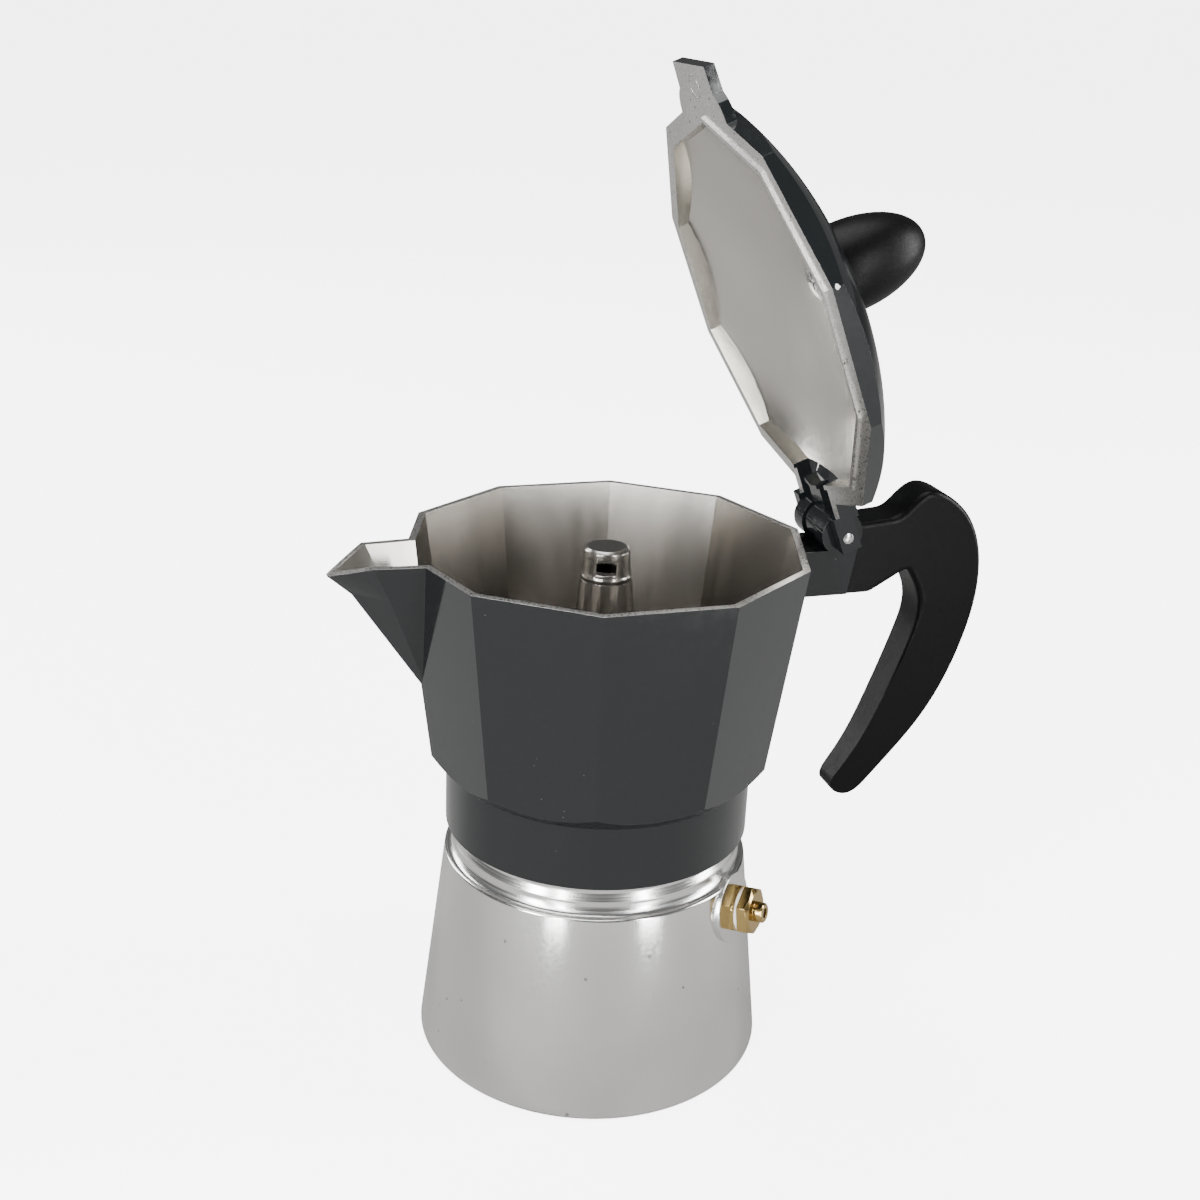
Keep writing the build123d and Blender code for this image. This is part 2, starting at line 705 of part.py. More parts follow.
def make_handle():
    """Claw-shaped plastic handle with rounded edges."""
    root = HANDLE_ROOT_X
    claw = Spline(
        (70.4, 0, 134.0),
        (74.6, 0, 136.4),
        (80.0, 0, 140.2),
        (86.5, 0, 138.2),
        (92.4, 0, 132.6),
        (96.8, 0, 116.5),
        (94.3, 0, 100.2),
        (85.9, 0, 80.4),
        (72.6, 0, 63.0),
        (66.2, 0, 58.6),
        (62.2, 0, 60.9),
        (64.4, 0, 66.6),
        (72.4, 0, 82.1),
        (79.3, 0, 101.3),
        (80.3, 0, 112.8),
        (77.0, 0, 119.4),
        (69.0, 0, 116.4),
        tangents=[(8.9, 0, 0.8), (-1.6, 0, -0.9)],
    )
    stub = Polyline(
        (69.0, 0, 116.4),
        (67.4, 0, 115.5),
        (BRACKET_FOOT_X + 0.1, 0, 115.5),
        (root, 0, 133.3),
        (70.4, 0, 134.0),
    )
    solid = extrude(make_face([claw, stub]), HANDLE_HALF, dir=(0, 1, 0), both=True)
    claw_edges = [edge for edge in solid.edges() if edge.length > 30]
    solid = fillet(claw_edges, HANDLE_ROUND)
    for side in (-1, 1):
        wedge = Polyline(
            (0, side * HANDLE_HALF, HANDLE_TAPER_Z),
            (0, side * HANDLE_TIP_HALF, 58.0),
            (0, side * (HANDLE_TIP_HALF - 0.5), 50.0),
            (0, side * 12.0, 50.0),
            (0, side * 12.0, HANDLE_TAPER_Z),
            close=True,
        )
        solid = solid - Pos(50, 0, 0) * extrude(make_face(wedge), 60, dir=(1, 0, 0))
    pocket = block(root - 4, 69.15, -3.1, 3.1, 118.5, 126.7)
    solid = solid - pocket - handle_screw_bore(1.7, 120)
    head = Pos(65.4, 0, 0) * disc(2.9, 108, 117.2)
    return solid - head


def make_handle_screw():
    """Screw that holds the handle on the bracket's tenon."""
    solid = disc(2.7, 115.5, 117.2) + disc(1.45, 117.2, 125.8)
    cross = block(-1.6, 1.6, -0.3, 0.3, 115, 116.5)
    solid = solid - cross - Rot(0, 0, 90) * cross
    return Pos(65.4, 0, 0) * solid


# ------------------------------------------------------------------ export
PARTS = {
    "boiler": make_boiler,
    "valve_base": make_valve_base,
    "valve_backnut": make_valve_backnut,
    "valve_washer": make_valve_washer,
    "valve_cap": make_valve_cap,
    "valve_plunger": make_valve_plunger,
    "valve_spring": make_valve_spring,
    "funnel": make_funnel,
    "funnel_screen": make_funnel_screen,
    "gasket": make_gasket,
    "filter_plate": make_filter_plate,
    "collector": make_collector,
    "column_cap": make_column_cap,
    "hinge_pin": make_hinge_pin,
    "handle": make_handle,
    "handle_screw": make_handle_screw,
    "lid": make_lid,
    "knob": make_knob,
    "knob_insert": make_knob_insert,
    "knob_screw": make_knob_screw,
}

os.makedirs("parts", exist_ok=True)
for name, maker in PARTS.items():
    export_step(maker(), f"parts/{name}.step")
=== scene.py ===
"""Moka pot: detailed pieces and finishes round the CAD frame, with a small studio."""

import logging
import math
from dataclasses import dataclass, field
from enum import Enum
from typing import Callable, Optional

import bmesh
import bpy
from mathutils import Matrix, Vector


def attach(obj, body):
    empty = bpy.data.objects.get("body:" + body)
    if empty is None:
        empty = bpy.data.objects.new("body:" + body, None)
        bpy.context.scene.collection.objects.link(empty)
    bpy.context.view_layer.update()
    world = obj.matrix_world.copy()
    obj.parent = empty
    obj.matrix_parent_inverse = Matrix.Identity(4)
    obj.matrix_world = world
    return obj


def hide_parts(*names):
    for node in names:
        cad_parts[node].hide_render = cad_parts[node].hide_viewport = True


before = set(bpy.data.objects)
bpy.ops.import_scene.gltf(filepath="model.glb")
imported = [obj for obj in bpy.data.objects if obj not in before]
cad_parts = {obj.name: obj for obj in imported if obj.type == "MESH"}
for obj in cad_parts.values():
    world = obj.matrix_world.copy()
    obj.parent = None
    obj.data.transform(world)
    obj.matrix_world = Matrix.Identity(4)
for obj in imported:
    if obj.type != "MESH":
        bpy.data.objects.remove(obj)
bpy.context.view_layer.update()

logging.basicConfig(level=logging.INFO, format="%(message)s")
log = logging.getLogger("moka")

MM = 0.001
Outline = list[tuple[float, float]]
FaceRule = Callable[[Vector, Vector], int]

HINGE = Vector((0.056, 0.0, 0.132))
LID_OPEN = math.radians(68.2)
LID_EDGE_R = 50.0


class Body(Enum):
    """CAD bodies that the new pieces ride on."""

    LOWER = "lower_pot"
    UPPER = "upper_pot"
    COVER = "cover"


class Pattern(Enum):
    """Kinds of surface pattern a finish can carry."""

    GRAIN = "grain"
    RINGS = "rings"
    STREAKS = "streaks"


def opened() -> Matrix:
    """Returns the turn from the closed lid to the stored open lid."""
    there = Matrix.Translation(HINGE)
    return there @ Matrix.Rotation(LID_OPEN, 4, "Y") @ there.inverted()


def lid_chip_and_highlight(angle: float, height: float, radius: float) -> tuple[float, float, float, float]:
    """Places a bare-metal chip on the lid's edge; it also serves as a painted highlight on a skirt corner.

    Args:
        angle: direction round the closed lid, in degrees.
        height: height on the closed lid, in millimetres.
        radius: size of the chip and painted highlight, in millimetres.

    Returns:
        The centre of the chip and painted highlight on the opened lid and its radius, in millimetres.
    """
    turn = math.radians(angle)
    spot = opened() @ (Vector((LID_EDGE_R * math.cos(turn), LID_EDGE_R * math.sin(turn), height)) * MM) / MM
    return spot.x, spot.y, spot.z, radius


# ---------------------------------------------------------------- node groups
class NodeSheet:
    """Small helper that adds and links nodes in one tree."""

    def __init__(self, tree: bpy.types.NodeTree) -> None:
        """Keeps the tree to work on."""
        self.tree = tree

    def add(self, kind: str, **settings: object) -> bpy.types.Node:
        """Adds a node.

        Args:
            kind: Blender's node type name.
            settings: node properties to set.

        Returns:
            The new node.
        """
        node = self.tree.nodes.new(kind)
        for key, value in settings.items():
            setattr(node, key, value)
        return node

    def link(self, source: bpy.types.NodeSocket, target: bpy.types.NodeSocket) -> None:
        """Links two sockets."""
        self.tree.links.new(source, target)

    def math(self, operation: str, a: object, b: object = 0.0) -> bpy.types.NodeSocket:
        """Adds a maths node.

        Args:
            operation: Blender's operation name.
            a: a number or a socket.
            b: a number or a socket.

        Returns:
            The result socket.
        """
        node = self.add("ShaderNodeMath", operation=operation)
        for index, value in enumerate((a, b)):
            if isinstance(value, bpy.types.NodeSocket):
                self.link(value, node.inputs[index])
            else:
                node.inputs[index].default_value = float(value)
        return node.outputs[0]

    def noise(self, vector: bpy.types.NodeSocket, scale: object, detail: float) -> bpy.types.NodeSocket:
        """Adds a noise texture.

        Args:
            vector: where the noise is read.
            scale: a number or a socket.
            detail: octaves of detail.

        Returns:
            The noise's factor socket.
        """
        node = self.add("ShaderNodeTexNoise")
        self.link(vector, node.inputs["Vector"])
        if isinstance(scale, bpy.types.NodeSocket):
            self.link(scale, node.inputs["Scale"])
        else:
            node.inputs["Scale"].default_value = float(scale)
        node.inputs["Detail"].default_value = detail
        return node.outputs[0]


def new_group(name: str, outputs: tuple[str, ...], floats: tuple[str, ...]) -> tuple:
    """Starts a node group with a vector input and number inputs.

    Args:
        name: the group's name.
        outputs: names of its number outputs.
        floats: names of its number inputs.

    Returns:
        The group, its sheet, and its input and output nodes.
    """
    group = bpy.data.node_groups.new(name, "ShaderNodeTree")
    group.interface.new_socket(name="Vector", in_out="INPUT", socket_type="NodeSocketVector")
    for item in floats:
        group.interface.new_socket(name=item, in_out="INPUT", socket_type="NodeSocketFloat")
    for item in outputs:
        group.interface.new_socket(name=item, in_out="OUTPUT", socket_type="NodeSocketFloat")
    sheet = NodeSheet(group)
    return group, sheet, sheet.add("NodeGroupInput"), sheet.add("NodeGroupOutput")


def grain_group() -> bpy.types.NodeTree:
    """Returns fine isotropic grain as used on cast and moulded skins."""
    group, sheet, start, end = new_group("fine_grain", ("Height", "Patch"), ("Scale",))
    fine = sheet.noise(start.outputs["Vector"], start.outputs["Scale"], 3.0)
    broad = sheet.noise(start.outputs["Vector"], 38.0, 2.0)
    sheet.link(fine, end.inputs["Height"])
    sheet.link(broad, end.inputs["Patch"])
    return group


def rings_group() -> bpy.types.NodeTree:
    """Returns turning lines that run round the Z axis."""
    group, sheet, start, end = new_group("turning_rings", ("Height", "Patch"), ("Scale",))
    split = sheet.add("ShaderNodeSeparateXYZ")
    sheet.link(start.outputs["Vector"], split.inputs[0])
    square_x = sheet.math("POWER", split.outputs[0], 2)
    square_y = sheet.math("POWER", split.outputs[1], 2)
    radius = sheet.math("SQRT", sheet.math("ADD", square_x, square_y))
    join = sheet.add("ShaderNodeCombineXYZ")
    sheet.link(radius, join.inputs[0])
    sheet.link(split.outputs[2], join.inputs[2])
    lines = sheet.noise(join.outputs[0], start.outputs["Scale"], 4.0)
    broad = sheet.noise(start.outputs["Vector"], 45.0, 2.0)
    sheet.link(lines, end.inputs["Height"])
    sheet.link(broad, end.inputs["Patch"])
    return group


def streaks_group() -> bpy.types.NodeTree:
    """Returns upright streaks and stains for the inside of a casting."""
    group, sheet, start, end = new_group("upright_streaks", ("Height", "Patch"), ("Scale",))
    squash = sheet.add("ShaderNodeVectorMath", operation="MULTIPLY")
    sheet.link(start.outputs["Vector"], squash.inputs[0])
    squash.inputs[1].default_value = (1.0, 1.0, 0.12)
    lines = sheet.noise(squash.outputs[0], start.outputs["Scale"], 4.0)
    broad = sheet.noise(squash.outputs[0], 90.0, 3.0)
    sheet.link(lines, end.inputs["Height"])
    sheet.link(broad, end.inputs["Patch"])
    return group


def specks_group() -> bpy.types.NodeTree:
    """Returns scattered specks: the mask is 1 on a speck."""
    group, sheet, start, end = new_group("specks", ("Mask",), ("Scale", "Size"))
    cells = sheet.add("ShaderNodeTexVoronoi")
    sheet.link(start.outputs["Vector"], cells.inputs["Vector"])
    sheet.link(start.outputs["Scale"], cells.inputs["Scale"])
    gate = sheet.noise(start.outputs["Vector"], 300.0, 1.0)
    size = sheet.math("MULTIPLY", start.outputs["Size"], sheet.math("GREATER_THAN", gate, 0.52))
    mask = sheet.math("LESS_THAN", cells.outputs["Distance"], size)
    sheet.link(mask, end.inputs["Mask"])
    return group


def chip_and_highlight_group() -> bpy.types.NodeTree:
    """Returns one ragged chip round a centre: bare metal that is also a painted highlight."""
    group, sheet, start, end = new_group("enamel_chip_and_highlight", ("Mask",), ("Radius",))
    group.interface.new_socket(name="Centre", in_out="INPUT", socket_type="NodeSocketVector")
    gap = sheet.add("ShaderNodeVectorMath", operation="DISTANCE")
    sheet.link(start.outputs["Vector"], gap.inputs[0])
    sheet.link(start.outputs["Centre"], gap.inputs[1])
    ragged = sheet.noise(start.outputs["Vector"], 1400.0, 2.0)
    reach = sheet.math("MULTIPLY", start.outputs["Radius"], sheet.math("MULTIPLY", ragged, 2.0))
    sheet.link(sheet.math("LESS_THAN", gap.outputs["Value"], reach), end.inputs["Mask"])
    return group


def seam_group() -> bpy.types.NodeTree:
    """Returns a thin parting line in the plane through spout and handle."""
    group, sheet, start, end = new_group("parting_line", ("Mask",), ("Width",))
    split = sheet.add("ShaderNodeSeparateXYZ")
    sheet.link(start.outputs["Vector"], split.inputs[0])
    side = sheet.math("ABSOLUTE", split.outputs[1])
    sheet.link(sheet.math("LESS_THAN", side, start.outputs["Width"]), end.inputs["Mask"])
    return group


class GroupShelf:
    """Holds each shared node group, built once."""

    def __init__(self) -> None:
        """Builds every group."""
        self.patterns = {
            Pattern.GRAIN: grain_group(),
            Pattern.RINGS: rings_group(),
            Pattern.STREAKS: streaks_group(),
        }
        self.specks = specks_group()
        self.chip_and_highlight = chip_and_highlight_group()
        self.seam = seam_group()


# ---------------------------------------------------------------- finishes
@dataclass(frozen=True)
class Finish:
    """One surface finish, from colour to bump."""

    name: str
    colour: tuple[float, float, float]
    shade: tuple[float, float, float]
    metallic: float = 0.0
    roughness: float = 0.4
    spread: float = 0.1
    pattern: Pattern = Pattern.GRAIN
    scale: float = 1500.0
    bump: float = 0.1
    depth: float = 0.00005
    specular: float = 0.5
    seam: bool = False
    speck_scale: float = 0.0
    speck_size: float = 0.12
    speck_colour: tuple[float, float, float] = (0.6, 0.6, 0.58)
    chips_and_highlights: tuple[tuple[float, float, float, float], ...] = ()

    def build(self, shelf: GroupShelf) -> bpy.types.Material:
        """Makes the material.

        Args:
            shelf: the shared node groups.

        Returns:
            The finished material.
        """
        material = bpy.data.materials.new(self.name)
        material.use_nodes = True
        sheet = NodeSheet(material.node_tree)
        shader = material.node_tree.nodes["Principled BSDF"]
        place = sheet.add("ShaderNodeTexCoord").outputs["Object"]
        pattern = sheet.add("ShaderNodeGroup", node_tree=shelf.patterns[self.pattern])
        sheet.link(place, pattern.inputs["Vector"])
        pattern.inputs["Scale"].default_value = self.scale
        colour = self.mix(sheet, pattern.outputs["Patch"], self.shade, self.colour)
        if self.speck_scale:
            specks = sheet.add("ShaderNodeGroup", node_tree=shelf.specks)
            sheet.link(place, specks.inputs["Vector"])
            specks.inputs["Scale"].default_value = self.speck_scale
            specks.inputs["Size"].default_value = self.speck_size
            colour = self.mix(sheet, specks.outputs["Mask"], colour, self.speck_colour)
        # Bare-metal chips, painted pale (0.75, 0.75, 0.72), that also stand in for highlights on the lid's
        # skirt corners.
        for x, y, z, radius in self.chips_and_highlights:
            chip_and_highlight = sheet.add("ShaderNodeGroup", node_tree=shelf.chip_and_highlight)
            sheet.link(place, chip_and_highlight.inputs["Vector"])
            chip_and_highlight.inputs["Centre"].default_value = (x * MM, y * MM, z * MM)
            chip_and_highlight.inputs["Radius"].default_value = radius * MM
            colour = self.mix(sheet, chip_and_highlight.outputs["Mask"], colour, (0.75, 0.75, 0.72))
        sheet.link(colour, shader.inputs["Base Color"])
        rough = sheet.add("ShaderNodeMapRange")
        sheet.link(pattern.outputs["Height"], rough.inputs["Value"])
        rough.inputs["From Min"].default_value = 0.3
        rough.inputs["From Max"].default_value = 0.7
        rough.inputs["To Min"].default_value = max(0.03, self.roughness - self.spread)
        rough.inputs["To Max"].default_value = self.roughness + self.spread
        sheet.link(rough.outputs["Result"], shader.inputs["Roughness"])
        bump = sheet.add("ShaderNodeBump")
        bump.inputs["Strength"].default_value = self.bump
        bump.inputs["Distance"].default_value = self.depth
        height = pattern.outputs["Height"]
        if self.seam:
            line = sheet.add("ShaderNodeGroup", node_tree=shelf.seam)
            sheet.link(place, line.inputs["Vector"])
            line.inputs["Width"].default_value = 0.16 * MM
            height = sheet.math("SUBTRACT", height, line.outputs["Mask"])
        sheet.link(height, bump.inputs["Height"])
        sheet.link(bump.outputs["Normal"], shader.inputs["Normal"])
        shader.inputs["Metallic"].default_value = self.metallic
        shader.inputs["Specular IOR Level"].default_value = self.specular
        return material

    @staticmethod
    def mix(
        sheet: NodeSheet, factor: bpy.types.NodeSocket, low: object, high: object
    ) -> bpy.types.NodeSocket:
        """Mixes two colours.

        Args:
            sheet: where the node goes.
            factor: 0 gives low and 1 gives high.
            low: a colour or a socket.
            high: a colour or a socket.

        Returns:
            The result socket.
        """
        node = sheet.add("ShaderNodeMix", data_type="RGBA")
        sheet.link(factor, node.inputs[0])
        for socket, value in ((node.inputs[6], low), (node.inputs[7], high)):
            if isinstance(value, bpy.types.NodeSocket):
                sheet.link(value, socket)
            else:
                socket.default_value = (*value, 1.0)
        return node.outputs[2]


FINISHES = (
    Finish("dark_enamel", (0.0080, 0.0094, 0.0100), (0.0068, 0.0080, 0.0086), 0.0, 0.08, 0.03,
           scale=420.0, bump=0.10, depth=0.00006, specular=0.5, speck_scale=260.0, speck_size=0.035,
           speck_colour=(0.08, 0.08, 0.08),
           # Two chips on the lid's skirt corners, painted pale as bare metal and as painted corner
           # highlights.
           chips_and_highlights=(lid_chip_and_highlight(222.0, 132.6, 0.5), lid_chip_and_highlight(252.0, 132.4, 0.5))),
    Finish("tumbled_aluminium", (0.90, 0.90, 0.885), (0.68, 0.68, 0.67), 1.0, 0.16, 0.05,
           scale=1500.0, bump=0.07, depth=0.00006, speck_scale=150.0, speck_size=0.07,
           speck_colour=(0.42, 0.41, 0.40)),
    Finish("turned_aluminium", (0.84, 0.84, 0.83), (0.70, 0.70, 0.69), 1.0, 0.2, 0.08,
           Pattern.RINGS, 2600.0, 0.5, 0.00006),
    Finish("inner_casting", (0.40, 0.385, 0.36), (0.32, 0.308, 0.288), 1.0, 0.24, 0.02,
           Pattern.STREAKS, 260.0, 0.02, 0.00003, speck_scale=500.0, speck_size=0.035,
           speck_colour=(0.75, 0.72, 0.68)),
    Finish("ground_rim", (0.78, 0.77, 0.75), (0.5, 0.49, 0.47), 1.0, 0.32, 0.1,
           scale=1800.0, bump=0.4, depth=0.00006, speck_scale=500.0, speck_size=0.16,
           speck_colour=(0.16, 0.15, 0.14)),
    Finish("lid_casting", (0.68, 0.66, 0.62), (0.56, 0.54, 0.50), 1.0, 0.21, 0.04,
           scale=1200.0, bump=0.03, depth=0.00004, speck_scale=260.0, speck_size=0.05,
           speck_colour=(0.85, 0.83, 0.8)),
    Finish("bright_aluminium", (0.80, 0.80, 0.79), (0.70, 0.70, 0.69), 1.0, 0.26, 0.06,
           Pattern.RINGS, 1500.0, 0.3, 0.00004),
    Finish("polished_brass", (0.62, 0.45, 0.18), (0.46, 0.32, 0.12), 1.0, 0.15, 0.06,
           scale=1600.0, bump=0.15, depth=0.00004),
    Finish("plain_steel", (0.66, 0.66, 0.66), (0.45, 0.45, 0.45), 1.0, 0.26, 0.08,
           scale=1900.0, bump=0.3, depth=0.00006),
    Finish("white_washer", (0.80, 0.79, 0.75), (0.72, 0.71, 0.67), 0.0, 0.5, 0.1,
           scale=1600.0, bump=0.2),
    Finish("seal_rubber", (0.62, 0.61, 0.58), (0.55, 0.54, 0.51), 0.0, 0.6, 0.1,
           scale=1400.0, bump=0.25),
    Finish("handle_plastic", (0.0015, 0.0015, 0.0017), (0.001, 0.001, 0.0012), 0.0, 0.38, 0.07,
           scale=2300.0, bump=0.3, depth=0.00008, specular=0.12, seam=True),
    Finish("knob_plastic", (0.0015, 0.0015, 0.0017), (0.001, 0.001, 0.0012), 0.0, 0.42, 0.08,
           scale=2800.0, bump=0.5, depth=0.00008, specular=0.14),
)


class FinishRack:
    """Every finish as a material, by name."""

    def __init__(self) -> None:
        """Builds the materials."""
        shelf = GroupShelf()
        self.materials = {finish.name: finish.build(shelf) for finish in FINISHES}

    def get(self, name: str) -> bpy.types.Material:
        """Returns a material by its finish's name."""
        return self.materials[name]


# ---------------------------------------------------------------- making pieces
def rounded(outline: Outline, radius: float, steps: int = 4) -> Outline:
    """Rounds every corner of a closed outline.

    Args:
        outline: corners as (radius, height) in millimetres.
        radius: largest rounding, in millimetres.
        steps: points along each rounding.

    Returns:
        The rounded outline, with corners on the axis left sharp.
    """
    result: Outline = []
    count = len(outline)
    for index, corner in enumerate(outline):
        here = Vector((*corner, 0))
        before = Vector((*outline[index - 1], 0))
        after = Vector((*outline[(index + 1) % count], 0))
        reach = min(radius, (before - here).length * 0.45, (after - here).length * 0.45)
        if here.x < 1e-6:
            result.append(corner)
            continue
        start = here + (before - here).normalized() * reach
        stop = here + (after - here).normalized() * reach
        for step in range(steps + 1):
            t = step / steps
            point = start * (1 - t) ** 2 + here * 2 * t * (1 - t) + stop * t * t
            result.append((point.x, point.y))
    return result


def turned(outline: Outline, segments: int = 128) -> bmesh.types.BMesh:
    """Spins a closed outline about the Z axis.

    Args:
        outline: (radius, height) points in millimetres.
        segments: steps in the full turn.

    Returns:
        A closed bmesh with outward normals.
    """
    bm = bmesh.new()
    verts = [bm.verts.new((r * MM, 0.0, z * MM)) for r, z in outline]
    pairs = list(zip(verts, verts[1:] + verts[:1]))
    edges = [bm.edges.new(pair) for pair in pairs if pair[0].co.x + pair[1].co.x > 1e-9]
    bmesh.ops.spin(bm, geom=verts + edges, cent=(0, 0, 0), axis=(0, 0, 1),
                   angle=math.tau, steps=segments, use_merge=True, use_duplicate=False)
    bmesh.ops.remove_doubles(bm, verts=bm.verts[:], dist=1e-7)
    bmesh.ops.recalc_face_normals(bm, faces=bm.faces[:])
    return bm


def merged_copy(node: str) -> bmesh.types.BMesh:
    """Returns a CAD node's surface with its triangles welded and flat areas joined."""
    bm = bmesh.new()
    bm.from_mesh(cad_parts[node].data)
    bmesh.ops.remove_doubles(bm, verts=bm.verts[:], dist=2e-6)
    bmesh.ops.dissolve_limit(bm, angle_limit=math.radians(0.4), use_dissolve_boundaries=False,
                             verts=bm.verts[:], edges=bm.edges[:], delimit=set())
    return bm


@dataclass
class Piece:
    """A finished mesh on its way into the scene."""

    name: str
    body: Body
    slot: str
    finishes: tuple[str, ...]
    nodes: tuple[str, ...] = ()
    bevel: float = 0.0
    bevel_angle: float = 28.0
    sharp_angle: float = 32.0
    rule: Optional[FaceRule] = None

    def place(self, bm: bmesh.types.BMesh, rack: FinishRack) -> bpy.types.Object:
        """Turns the bmesh into an object that rides on its body.

        Args:
            bm: the mesh, in the row frame; it is freed.
            rack: the finishes.

        Returns:
            The new object.
        """
        if self.rule:
            for face in bm.faces:
                face.material_index = self.rule(face.calc_center_median(), face.normal)
        mesh = bpy.data.meshes.new(self.name)
        bm.to_mesh(mesh)
        bm.free()
        for finish in self.finishes:
            mesh.materials.append(rack.get(finish))
        mesh.shade_smooth()
        if not self.bevel:
            mesh.set_sharp_from_angle(angle=math.radians(self.sharp_angle))
        piece = bpy.data.objects.new(self.name, mesh)
        bpy.context.scene.collection.objects.link(piece)
        if self.bevel:
            bevel = piece.modifiers.new("edge_round", "BEVEL")
            bevel.width = self.bevel * MM
            bevel.segments = 3
            bevel.limit_method = "ANGLE"
            bevel.angle_limit = math.radians(self.bevel_angle)
            bevel.miter_outer = "MITER_ARC"
            weights = piece.modifiers.new("flat_faces", "WEIGHTED_NORMAL")
            weights.keep_sharp = False
        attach(piece, self.body.value)
        if self.nodes:
            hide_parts(*self.nodes)
        log.info("%s: %d faces", self.name, len(mesh.polygons))
        return piece


# ---------------------------------------------------------------- sub-assemblies
@dataclass
class LowerPot:
    """Boiler with its neck and thread."""

    base_r: float = 43.4
    top_r: float = 37.4
    top_z: float = 51.4
    neck_r: float = 34.0
    neck_top: float = 69.0
    bore_r: float = 30.8
    seat_r: float = 32.9
    seat_depth: float = 1.2
    floor_thick: float = 3.4

    def outline(self) -> Outline:
        """Returns the closed outline of the boiler wall."""
        flute = []
        for step in range(9):
            t = step / 8 * math.pi / 2
            flute.append((self.top_r - 0.5 - 2.0 * math.sin(t), self.top_z + 3.6 - 3.3 * math.cos(t)))
        foot = [(0, 0), (self.base_r - 0.9, 0), (self.base_r - 0.1, 0.9)]
        neck = [
            (self.neck_r, self.top_z + 5.4),
            (self.neck_r, self.neck_top - 0.5),
            (self.neck_r - 0.5, self.neck_top),
            (self.seat_r, self.neck_top),
            (self.seat_r, self.neck_top - self.seat_depth),
            (self.bore_r, self.neck_top - self.seat_depth),
            (self.bore_r, self.top_z + 1.0),
            (self.top_r - 2.8, self.top_z - 3.0),
            (self.base_r - 3.4, 4.8),
            (self.base_r - 4.4, self.floor_thick),
            (0, self.floor_thick),
        ]
        return rounded(foot + [(self.top_r, self.top_z)] + flute + neck, 0.35, 3)

    def build(self, rack: FinishRack) -> None:
        """Builds the boiler, its boss and its thread."""
        def skin(centre: Vector, _normal: Vector) -> int:
            """Returns 1 on the turned neck and 0 on the body."""
            return 1 if centre.z > (self.top_z + 0.2) * MM else 0

        shell = Piece("boiler_shell", Body.LOWER, "boiler_aluminium",
                      ("tumbled_aluminium", "turned_aluminium"), ("boiler",), rule=skin)
        shell.place(turned(self.outline(), 160), rack)
        self.build_boss(rack)
        self.build_thread(rack)

    def build_boss(self, rack: FinishRack) -> None:
        """Builds the spot-faced round pad behind the valve."""
        bm = turned(rounded([(3.3, -1.6), (8.6, -1.6), (8.6, 0.4), (3.3, 0.4)], 0.25), 96)
        bm.transform(Valve().place())
        boss = Piece("valve_pad", Body.LOWER, "boiler_aluminium", ("turned_aluminium",))
        boss.place(bm, rack)

    def build_thread(self, rack: FinishRack) -> None:
        """Builds the raised thread that winds up the neck."""
        bm = bmesh.new()
        corners = [(33.8, 56.6), (34.8, 57.3), (34.8, 57.7), (33.8, 58.4)]
        verts = [bm.verts.new((r * MM, 0.0, z * MM)) for r, z in corners]
        section = bm.faces.new(verts)
        turns, steps = 3.2, 72
        bmesh.ops.spin(bm, geom=[section], cent=(0, 0, 0), axis=(0, 0, 1), dvec=(0, 0, 3.0 * MM / steps),
                       angle=math.tau * turns, steps=int(steps * turns), use_duplicate=False)
        bmesh.ops.recalc_face_normals(bm, faces=bm.faces[:])
        thread = Piece("neck_thread", Body.LOWER, "boiler_aluminium", ("turned_aluminium",))
        thread.place(bm, rack)


@dataclass
class Valve:
    """Brass safety valve on the boiler's wall."""

    azimuth: float = -45.0
    height: float = 44.6
    nodes: tuple[str, ...] = ("valve_base", "valve_cap")

    def place(self) -> Matrix:
        """Returns the frame whose Z axis is the valve's axis."""
        tilt = math.atan2(6.0, 51.4)
        radius = 43.4 - self.height * math.tan(tilt)
        turn = Matrix.Rotation(math.radians(self.azimuth), 4, "Z")
        shift = Matrix.Translation((radius * MM, 0, self.height * MM))
        return turn @ shift @ Matrix.Rotation(math.pi / 2 - tilt, 4, "Y")

    def build(self, rack: FinishRack) -> None:
        """Builds the rounded hexagons and the washer."""
        for node in self.nodes:
            piece = Piece(f"{node}_turned", Body.LOWER, "brass", ("polished_brass",), (node,), bevel=0.14)
            piece.place(merged_copy(node), rack)
        ring = turned(rounded([(3.45, 2.6), (5.35, 2.6), (5.35, 3.4), (3.45, 3.4)], 0.2), 72)
        ring.transform(self.place())
        washer = Piece("valve_washer_ring", Body.LOWER, "washer", ("white_washer",), ("valve_washer",))
        washer.place(ring, rack)


